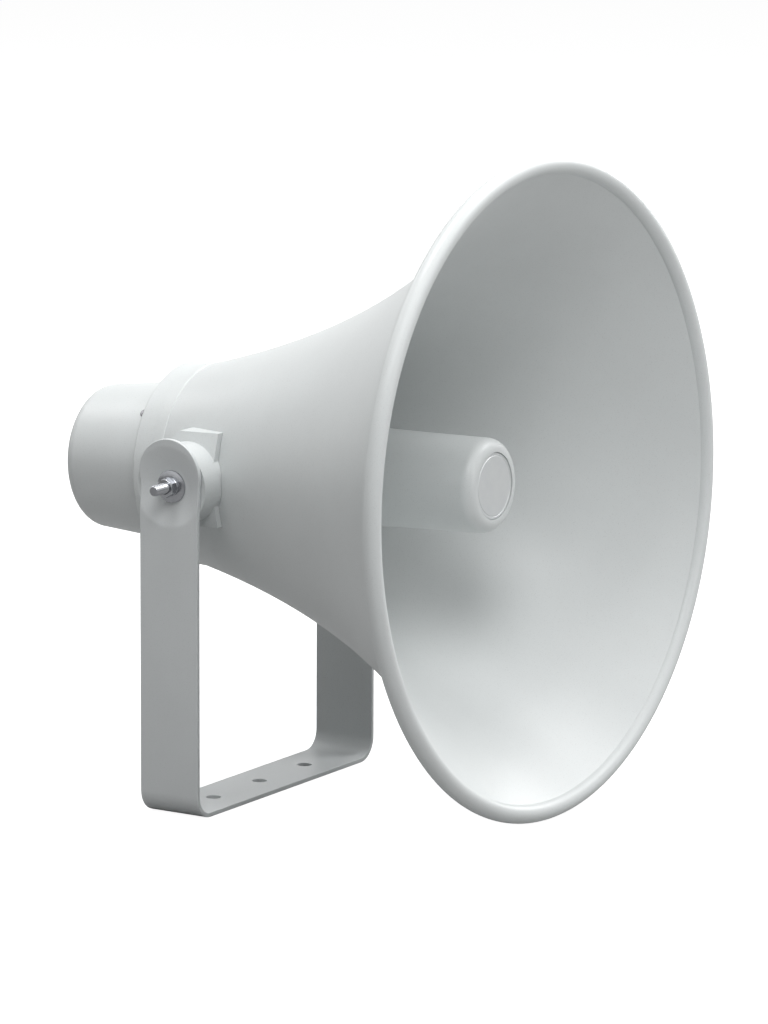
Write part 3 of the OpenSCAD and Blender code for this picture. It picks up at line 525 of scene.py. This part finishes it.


# The heads wear the near-black painted shade of their counterbores instead of the zinc of their slot
heads = join("slotted_screws", [pan_screw(on_cover_screw(i) @ at(COVER_R - 0.9)) for i in range(4)],
             "zinc_steel", 35, "screw_painted_shade")
slots = []
for i in range(4):
    me = bpy.data.meshes.new("slot")
    bm = bmesh.new()
    bmesh.ops.create_cube(bm, size=1)
    bm.transform(on_cover_screw(i) @ at(COVER_R - 0.9 + 1.15) @ Matrix.Rotation(0.5 + 1.3 * i, 4, "Z")
                 @ Matrix.Diagonal((7.4 * MM, 0.9 * MM, 1.1 * MM, 1)))
    bm.to_mesh(me)
    bm.free()
    slots.append(bpy.data.objects.new("slot", me))
    scene.collection.objects.link(slots[-1])
carve(heads, slots, 35)
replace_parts(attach(heads, "horn"), "cover_screws")

# Hinge hardware, turned and threaded, on both sides
DISH_FLOOR = ARM_INNER + STRIP_T - DISH_DEPTH
SPRING_FACE = DISH_FLOOR + WASHER_T
NUT_FACE = SPRING_FACE + SPRING_T
STUD_END = NUT_FACE + NUT_T + STUD_TAIL
STUD_START = DISH_FLOOR - STRIP_T - 0.05 - 22
PITCH, THREAD = 1.25, 0.62


def on_pivot(side):
    return HORN @ Matrix.Translation((0, AXIS_DROP * MM, 0)) @ Matrix.Rotation(side * math.pi / 2, 4, "Y")


def thread_radius(angle, z, crest, depth):
    t = (z / PITCH - angle / (2 * math.pi)) % 1
    return crest - depth * min(1, max(0, 2.3 * abs(t - 0.5) - 0.08))


def stud(side):
    segments, steps = 48, 8
    rings = turned([(3.4, STUD_START), (STUD_R, STUD_START + 0.6), (STUD_R, SPRING_FACE - 0.2)], segments)
    z = SPRING_FACE
    while z <= STUD_END:
        chamfer = max(0, z - (STUD_END - 0.8)) * 0.9
        rings.append([(min(thread_radius(2 * math.pi * i / segments, z, STUD_R, THREAD), STUD_R - chamfer)
                       * math.cos(2 * math.pi * i / segments),
                       min(thread_radius(2 * math.pi * i / segments, z, STUD_R, THREAD), STUD_R - chamfer)
                       * math.sin(2 * math.pi * i / segments), z) for i in range(segments)])
        z += PITCH / steps
    rings += turned([(3.2, STUD_END), (1.2, STUD_END - 0.02)], segments)
    return rings_mesh(rings, on_pivot(side))


def nut(side, turn):
    """Hex nut with the round chamfer of a turned blank on both faces and a countersunk thread."""
    segments, flat = 120, NUT_AF / 2
    rings = []

    def ring(radius, z):
        rings.append([(radius(a) * math.cos(a + turn), radius(a) * math.sin(a + turn), z(a))
                      for a in (2 * math.pi * i / segments for i in range(segments))])

    def hexagon(a):
        return flat / math.cos((a + math.pi / 6) % (math.pi / 3) - math.pi / 6)

    def drop(a):
        return max(0.0, hexagon(a) - flat * 0.985) * math.tan(math.radians(30)) + 0.02

    low, high = NUT_FACE, NUT_FACE + NUT_T
    ring(lambda a: STUD_R + 0.55, lambda a: low)
    ring(lambda a: flat * 0.965, lambda a: low)
    ring(lambda a: flat * 0.985, lambda a: low + 0.02)
    ring(lambda a: hexagon(a) - 0.05, lambda a: low + drop(a))
    ring(hexagon, lambda a: low + drop(a) + 0.1)
    ring(hexagon, lambda a: high - drop(a) - 0.1)
    ring(lambda a: hexagon(a) - 0.05, lambda a: high - drop(a))
    ring(lambda a: flat * 0.985, lambda a: high - 0.02)
    ring(lambda a: flat * 0.965, lambda a: high)
    ring(lambda a: STUD_R + 0.55, lambda a: high)
    ring(lambda a: STUD_R - 0.35, lambda a: high - 0.9)
    ring(lambda a: STUD_R - 0.35, lambda a: low + 0.9)
    return rings_mesh(rings, on_pivot(side), closed=True)


def washer(side, outer, low, high, edge):
    rim = [(STUD_R + 0.3, low), (outer - edge, low), (outer - 0.3 * edge, low + 0.3 * edge), (outer, low + edge),
           (outer, high - edge), (outer - 0.3 * edge, high - 0.3 * edge), (outer - edge, high),
           (STUD_R + 0.5, high), (STUD_R + 0.3, high - 0.2)]
    return rings_mesh(turned(rim, 96), on_pivot(side), closed=True)


def split_washer(side):
    """Square wire wound once, its cut ends a little apart."""
    inner, outer, steps = STUD_R + 0.3, STUD_R * 1.75, 88
    low, high, cut = SPRING_FACE + 0.03, NUT_FACE - 0.03, math.radians(9)
    start = math.radians(205)
    rings = []
    for i in range(steps + 1):
        t = i / steps
        a = start + t * (2 * math.pi - cut)
        lift = 0.02 * (t - 0.5)
        section = [(inner, low + 0.15), (inner + 0.15, low), (outer - 0.15, low), (outer, low + 0.15),
                   (outer, high - 0.15), (outer - 0.15, high), (inner + 0.15, high), (inner, high - 0.15)]
        skew = math.radians(5)
        rings.append([(r * math.cos(a + skew * (z - low)), r * math.sin(a + skew * (z - low)), z + lift)
                      for r, z in section])
    return rings_mesh(rings, on_pivot(side))


studs = join("threaded_studs", [stud(-1), stud(1)], "zinc_steel", 40)
nuts = join("hex_nuts", [nut(-1, 0.0), nut(1, 0.0)], "zinc_steel", 24)
plain = join("plain_washers", [washer(s, 12, DISH_FLOOR, SPRING_FACE, 0.35) for s in (-1, 1)], "zinc_steel", 35)
split = join("split_washers", [split_washer(-1), split_washer(1)], "zinc_steel", 35)
for piece, node in ((studs, "pivot_studs"), (nuts, "hinge_nuts"), (plain, "flat_washers"), (split, "spring_washers")):
    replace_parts(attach(piece, "horn"), node)


def round_edges(obj, width, angle=32, segments=3):
    b = obj.modifiers.new("edge", "BEVEL")
    b.width = width * MM
    b.segments = segments
    b.limit_method = "ANGLE"
    b.angle_limit = math.radians(angle)
    b.miter_outer = "MITER_ARC"
    b.use_clamp_overlap = True
    b.harden_normals = True
    return bake(obj)


def softened(node, name, width, cuts=(), angle=32, flat=0.6):
    """A CAD node's shape with its flats made whole and its edges rounded, as casting and painting leave them."""
    bm = bmesh.new()
    bm.from_mesh(NODES[node].data)
    bmesh.ops.remove_doubles(bm, verts=bm.verts[:], dist=0.000003)
    bmesh.ops.dissolve_limit(bm, angle_limit=math.radians(flat), verts=bm.verts[:], edges=bm.edges[:],
                             delimit={"NORMAL"})
    obj = finish_mesh(name, bm, slot_of(node), angle)
    for extra in ("custom_normal", "sharp_face"):
        if extra in obj.data.attributes:
            obj.data.attributes.remove(obj.data.attributes[extra])
    if cuts:
        carve(obj, cuts, angle)
    smooth(obj, angle)
    round_edges(obj, width, angle)
    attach(obj, "bracket" if node == "u_bracket" else "horn")
    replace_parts(obj, node)
    return obj


def prism(outline, half_height, matrix):
    """A cutter from a plan outline of (x, z), up and down by half_height along y."""
    bm = bmesh.new()
    rows = [[bm.verts.new((x * MM, y * MM, z * MM)) for x, z in outline] for y in (-half_height, half_height)]
    for i in range(len(outline)):
        j = (i + 1) % len(outline)
        bm.faces.new((rows[0][i], rows[0][j], rows[1][j], rows[1][i]))
    bm.faces.new(rows[0])
    bm.faces.new(rows[1])
    bmesh.ops.recalc_face_normals(bm, faces=bm.faces[:])
    bm.transform(matrix)
    me = bpy.data.meshes.new("cutter")
    bm.to_mesh(me)
    bm.free()
    obj = bpy.data.objects.new("cutter", me)
    scene.collection.objects.link(obj)
    return obj


# Casting: its side arms are rounded to the bell, run in to the ring behind and stop short of the boss in front
def around_boss(side, outline, half_height, matrix):
    """A cutter that leaves the round boss and its root whole."""
    return carve(prism(outline, half_height, matrix), [cutter(on_pivot(side) @ at(105), 30.02, 90, 128)])


UPRIGHT = HORN @ Matrix.Translation((0, 0, -5 * MM)) @ Matrix.Rotation(math.pi / 2, 4, "X")
BESIDE_RING = HORN @ Matrix.Translation((0, 0, -53.35 * MM)) @ Matrix.Rotation(math.pi / 2, 4, "X")
SIDEWAYS = Matrix(((0, 1, 0, 0), (0, 0, 1, 0), (1, 0, 0, 0), (0, 0, 0, 1)))
lug_cuts = []
for s in (-1, 1):
    ring = [(s * 76.05 * math.cos(math.radians(a)), 76.05 * math.sin(math.radians(a))) for a in range(-60, 61, 2)]
    rear = [(s * 100.4, -9), (s * 135, -9), (s * 135, -60), (s * 76.4, -60), (s * 76.4, -46.9)]
    front = [(s * 60, 25), (s * 135, 25), (s * 135, 45), (s * 60, 45)]
    arc = [(s * 100.2 * math.cos(math.radians(a)), 100.2 * math.sin(math.radians(a))) for a in range(-30, 31, 2)]
    lug_cuts.append(around_boss(s, rear, 60, HORN))
    lug_cuts.append(around_boss(s, front, 60, HORN))
    lug_cuts.append(around_boss(s, arc + [(s * 135, 55), (s * 135, -55)], 60, UPRIGHT))
    lug_cuts.append(around_boss(s, ring + [(s * 135, 80), (s * 135, -80)], 6.65, BESIDE_RING))
    for up in (1, -1):
        wedge = [(-9, up * 35.2), (-9, up * 50), (-46.74, up * 50), (-46.74, up * 9)]
        lug_cuts.append(around_boss(s, wedge, 37, HORN @ Matrix.Translation((s * 92 * MM, 6 * MM, 0)) @ SIDEWAYS))
softened("throat_casting", "throat_body", 0.8, lug_cuts)

# Sealed lip of the casting over the bell's rear edge
def lip_profile():
    reach, steps = 7.6, 8
    outer = [(76.08, -49.5), (76.3, -49.2)] + [(76.3 + 1.1 * i / 4, -48.6 + 9.2 * i / 4) for i in range(5)]
    outer += [(77.25, -38.75), (flare(reach / flare_len, WALL / 2 + 0.06)[0], -BELL_REAR + reach)]
    inner = [flare(reach * i / steps / flare_len, WALL / 2 + 0.06) for i in range(steps - 1, -1, -1)]
    return outer + inner + [(76.08, -46.4)]


lip_ring = lathe("collar_lip", lip_profile(), "painted_casting", 192, 30)
carve(lip_ring, [prism([(s * 60, -30), (s * 90, -30), (s * 90, -47.9), (s * 60, -47.9)], 8.5,
                       HORN @ Matrix.Translation((0, 6 * MM, 0))) for s in (-1, 1)], 30)
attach(lip_ring, "horn")


# Bracket: one bent strip with rounded, dished ears
ARM_OUTER, STRIP_HALF, BEND_R = ARM_INNER + STRIP_T, 25.5, 18
EAR_R, EAR_RISE, EAR_DROP = 26.5, 9.5, 36
DISH_R, DISH_FLOOR_R, DISH_BACK, DISH_SOFT = 30, 14, 1.4, 1.8


def ear_radius(a):
    """How far the ear's outline lies from the tilt axis."""
    c, d = math.cos(a), math.sin(a)
    side = STRIP_HALF / abs(c) if abs(c) > 1e-9 else 1e9
    strip = min(side, EAR_RISE / d) if d > 0 else side
    round_top = EAR_RISE * d + math.sqrt(EAR_R ** 2 - (EAR_RISE * c) ** 2)
    return min(max(strip, round_top), EAR_DROP / -d if d < -1e-9 else 1e9)


def dish(r, floor_r, edge_r):
    """Depth of the dish at radius r, its two corners rounded as a press leaves them."""
    slope, w = DISH_DEPTH / (edge_r - floor_r), DISH_SOFT
    if r <= floor_r - w:
        return -DISH_DEPTH
    if r < floor_r + w:
        return -DISH_DEPTH + slope * (r - floor_r + w) ** 2 / (4 * w)
    if r <= edge_r - w:
        return -slope * (edge_r - r)
    if r < edge_r + w:
        return -slope * (edge_r + w - r) ** 2 / (4 * w)
    return 0.0


def bracket_mesh():
    bm = bmesh.new()
    corners = [math.atan2(-EAR_DROP, STRIP_HALF), math.atan2(-EAR_DROP, -STRIP_HALF)]
    angles = [a for a in (-math.pi + 2 * math.pi * (i + 0.5) / 144 for i in range(144))
              if min(abs(a - c) for c in corners) > 0.015]
    angles = sorted(angles + corners)
    radii = [STUD_R + 0.08, 9] + [DISH_FLOOR_R + k for k in (-1.8, -0.9, 0, 0.9, 1.8)] + [18, 21, 24]
    radii += [DISH_R + k for k in (-1.8, -0.9, 0, 0.9, 1.8)]
    ends = {}
    for side in (-1, 1):
        def skin(face, floor_r, edge_r):
            rows = []
            for a in angles:
                rim = ear_radius(a)
                edge = bm.verts.new((side * (face + dish(rim, floor_r, edge_r)) * MM, rim * math.cos(a) * MM,
                                     (PIVOT_H + rim * math.sin(a)) * MM))
                row = [bm.verts.new((side * (face + dish(q, floor_r, edge_r)) * MM, q * math.cos(a) * MM,
                                     (PIVOT_H + q * math.sin(a)) * MM)) if q < rim - 1 else edge for q in radii]
                rows.append(row + [edge])
            for i, row in enumerate(rows):
                nxt = rows[(i + 1) % len(rows)]
                for k in range(len(radii)):
                    vs = list(dict.fromkeys((row[k], row[k + 1], nxt[k + 1], nxt[k])))
                    if len(vs) > 2:
                        bm.faces.new(vs)
            return rows
        outer = skin(ARM_OUTER, DISH_FLOOR_R, DISH_R)
        inner = skin(ARM_INNER, DISH_FLOOR_R + DISH_BACK, DISH_R + DISH_BACK)
        low = [i for i, a in enumerate(angles) if corners[1] - 1e-9 <= a <= corners[0] + 1e-9]
        for i in range(len(angles)):
            j = (i + 1) % len(angles)
            bm.faces.new((outer[i][0], outer[j][0], inner[j][0], inner[i][0]))
            if not (i in low and j in low):
                bm.faces.new((outer[i][-1], outer[j][-1], inner[j][-1], inner[i][-1]))
        ends[side] = ([outer[i][-1] for i in low], [inner[i][-1] for i in low])

    path = [(ARM_OUTER, ARM_INNER, BEND_R, BEND_R)]
    for i in range(1, 13):
        a = math.radians(7.5 * i)
        path.append((ARM_OUTER - BEND_R + BEND_R * math.cos(a), ARM_OUTER - BEND_R + (BEND_R - STRIP_T) * math.cos(a),
                     BEND_R - BEND_R * math.sin(a), BEND_R - (BEND_R - STRIP_T) * math.sin(a)))
    stations = [(s, *q) for s, part in ((1, path), (-1, path[::-1])) for q in part]
    rows = [[bm.verts.new((s * xo * MM, y * MM, zo * MM)) for y in (-STRIP_HALF, STRIP_HALF)]
            + [bm.verts.new((s * xi * MM, y * MM, zi * MM)) for y in (-STRIP_HALF, STRIP_HALF)]
            for s, xo, xi, zo, zi in stations]
    for a, b in zip(rows, rows[1:]):
        for i, j in ((0, 1), (1, 3), (3, 2), (2, 0)):
            bm.faces.new((a[i], a[j], b[j], b[i]))
    for side, row in ((1, rows[0]), (-1, rows[-1])):
        outer, inner = ends[side]
        bm.faces.new(outer + [row[1], row[0]])
        bm.faces.new(inner + [row[3], row[2]])
        bm.faces.new((outer[0], inner[0], row[2], row[0]))
        bm.faces.new((outer[-1], inner[-1], row[3], row[1]))
    bmesh.ops.recalc_face_normals(bm, faces=bm.faces[:])
    return bm


strip = finish_mesh("bracket_strip", bracket_mesh(), "painted_steel", 32)
carve(strip, [cutter(Matrix.Translation((x * MM, 0, 1.75 * MM)), 5.5, 8) for x in (-63, 0, 63)], 32)
round_edges(strip, 0.6)
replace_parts(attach(strip, "bracket"), "u_bracket")
softened("gland_body", "gland_shell", 0.4)
softened("gland_cap", "gland_dome", 0.5)

for node in NODES:
    if not NODES[node].hide_render:
        NODES[node].data.materials.clear()
        NODES[node].data.materials.append(M[slot_of(node)])

# Floor, world and soft studio light
FLOOR_LIFT = 0.94
bm = bmesh.new()
bmesh.ops.create_grid(bm, x_segments=24, y_segments=24, size=9)
floor_mesh = bpy.data.meshes.new("floor")
bm.to_mesh(floor_mesh)
bm.free()
floor = bpy.data.objects.new("floor", floor_mesh)
scene.collection.objects.link(floor)
floor_mat = bpy.data.materials.new("floor_paper")
tree, shader = fresh_tree(floor_mat)
grain = noise(tree, coords(tree), 220, 4, 0.6)
tree.links.new(mix_colour(tree, spread(tree, grain, 0, 1), (0.38, 0.38, 0.38), (0.40, 0.40, 0.40)),
               shader.inputs["Base Color"])
shader.inputs["Roughness"].default_value = 0.95
shader.inputs["Specular IOR Level"].default_value = 0.0
bump(tree, shader, grain, 0.0001)
seen = tree.nodes.new("ShaderNodeLightPath")
shader.inputs["Emission Color"].default_value = (1, 1, 1, 1)
tree.links.new(math_node(tree, "MULTIPLY", seen.outputs["Is Camera Ray"], FLOOR_LIFT),
               shader.inputs["Emission Strength"])
floor_mesh.materials.append(floor_mat)

world = bpy.data.worlds.new("studio")
scene.world = world
world.use_nodes = True
tree = world.node_tree
tree.nodes.clear()
out = tree.nodes.new("ShaderNodeOutputWorld")
plain_white = tree.nodes.new("ShaderNodeBackground")
plain_white.inputs["Color"].default_value = (1, 1, 1, 1)
plain_white.inputs["Strength"].default_value = 1.0
ambient = tree.nodes.new("ShaderNodeBackground")
ambient.inputs["Color"].default_value = (0.97, 0.985, 1, 1)
ambient.inputs["Strength"].default_value = 0.02
path = tree.nodes.new("ShaderNodeLightPath")
pick = tree.nodes.new("ShaderNodeMixShader")
bright = math_node(tree, "MAXIMUM", path.outputs["Is Camera Ray"], path.outputs["Is Glossy Ray"])
tree.links.new(bright, pick.inputs[0])
tree.links.new(ambient.outputs[0], pick.inputs[1])
tree.links.new(plain_white.outputs[0], pick.inputs[2])
tree.links.new(pick.outputs[0], out.inputs["Surface"])


def softbox(name, place, aim, width, height, power, colour=(1, 1, 1)):
    lamp = bpy.data.lights.new(name, "AREA")
    lamp.shape = "RECTANGLE"
    lamp.size, lamp.size_y = width, height
    lamp.energy = power
    lamp.color = colour
    obj = bpy.data.objects.new(name, lamp)
    scene.collection.objects.link(obj)
    obj.location = place
    obj.rotation_mode = "QUATERNION"
    obj.rotation_quaternion = (Vector(aim) - Vector(place)).to_track_quat("-Z", "Y")
    obj.visible_camera = False
    return obj


AIM = (0, -0.05, 0.27)
softbox("top_box", (0, 0, 3.2), AIM, 1.2, 1.2, 56)
softbox("front_top_box", (0, -2.2, 2.6), AIM, 1.2, 1.2, 14)
softbox("front_box", (0.2, -3.2, 1.2), AIM, 1.2, 1.2, 16)
softbox("left_front_box", (-1.7, -1.4, 2.5), AIM, 1.2, 1.2, 31)
softbox("left_box", (-2.2, 0.2, 2.6), AIM, 1.2, 1.2, 15)
softbox("right_front_box", (1.8, -1.6, 2.4), AIM, 1.2, 1.2, 35)
softbox("right_box", (3.0, -0.6, 1.3), AIM, 1.2, 1.2, 26)
softbox("rear_box", (0, 2.4, 2.4), AIM, 1.2, 1.2, 18)
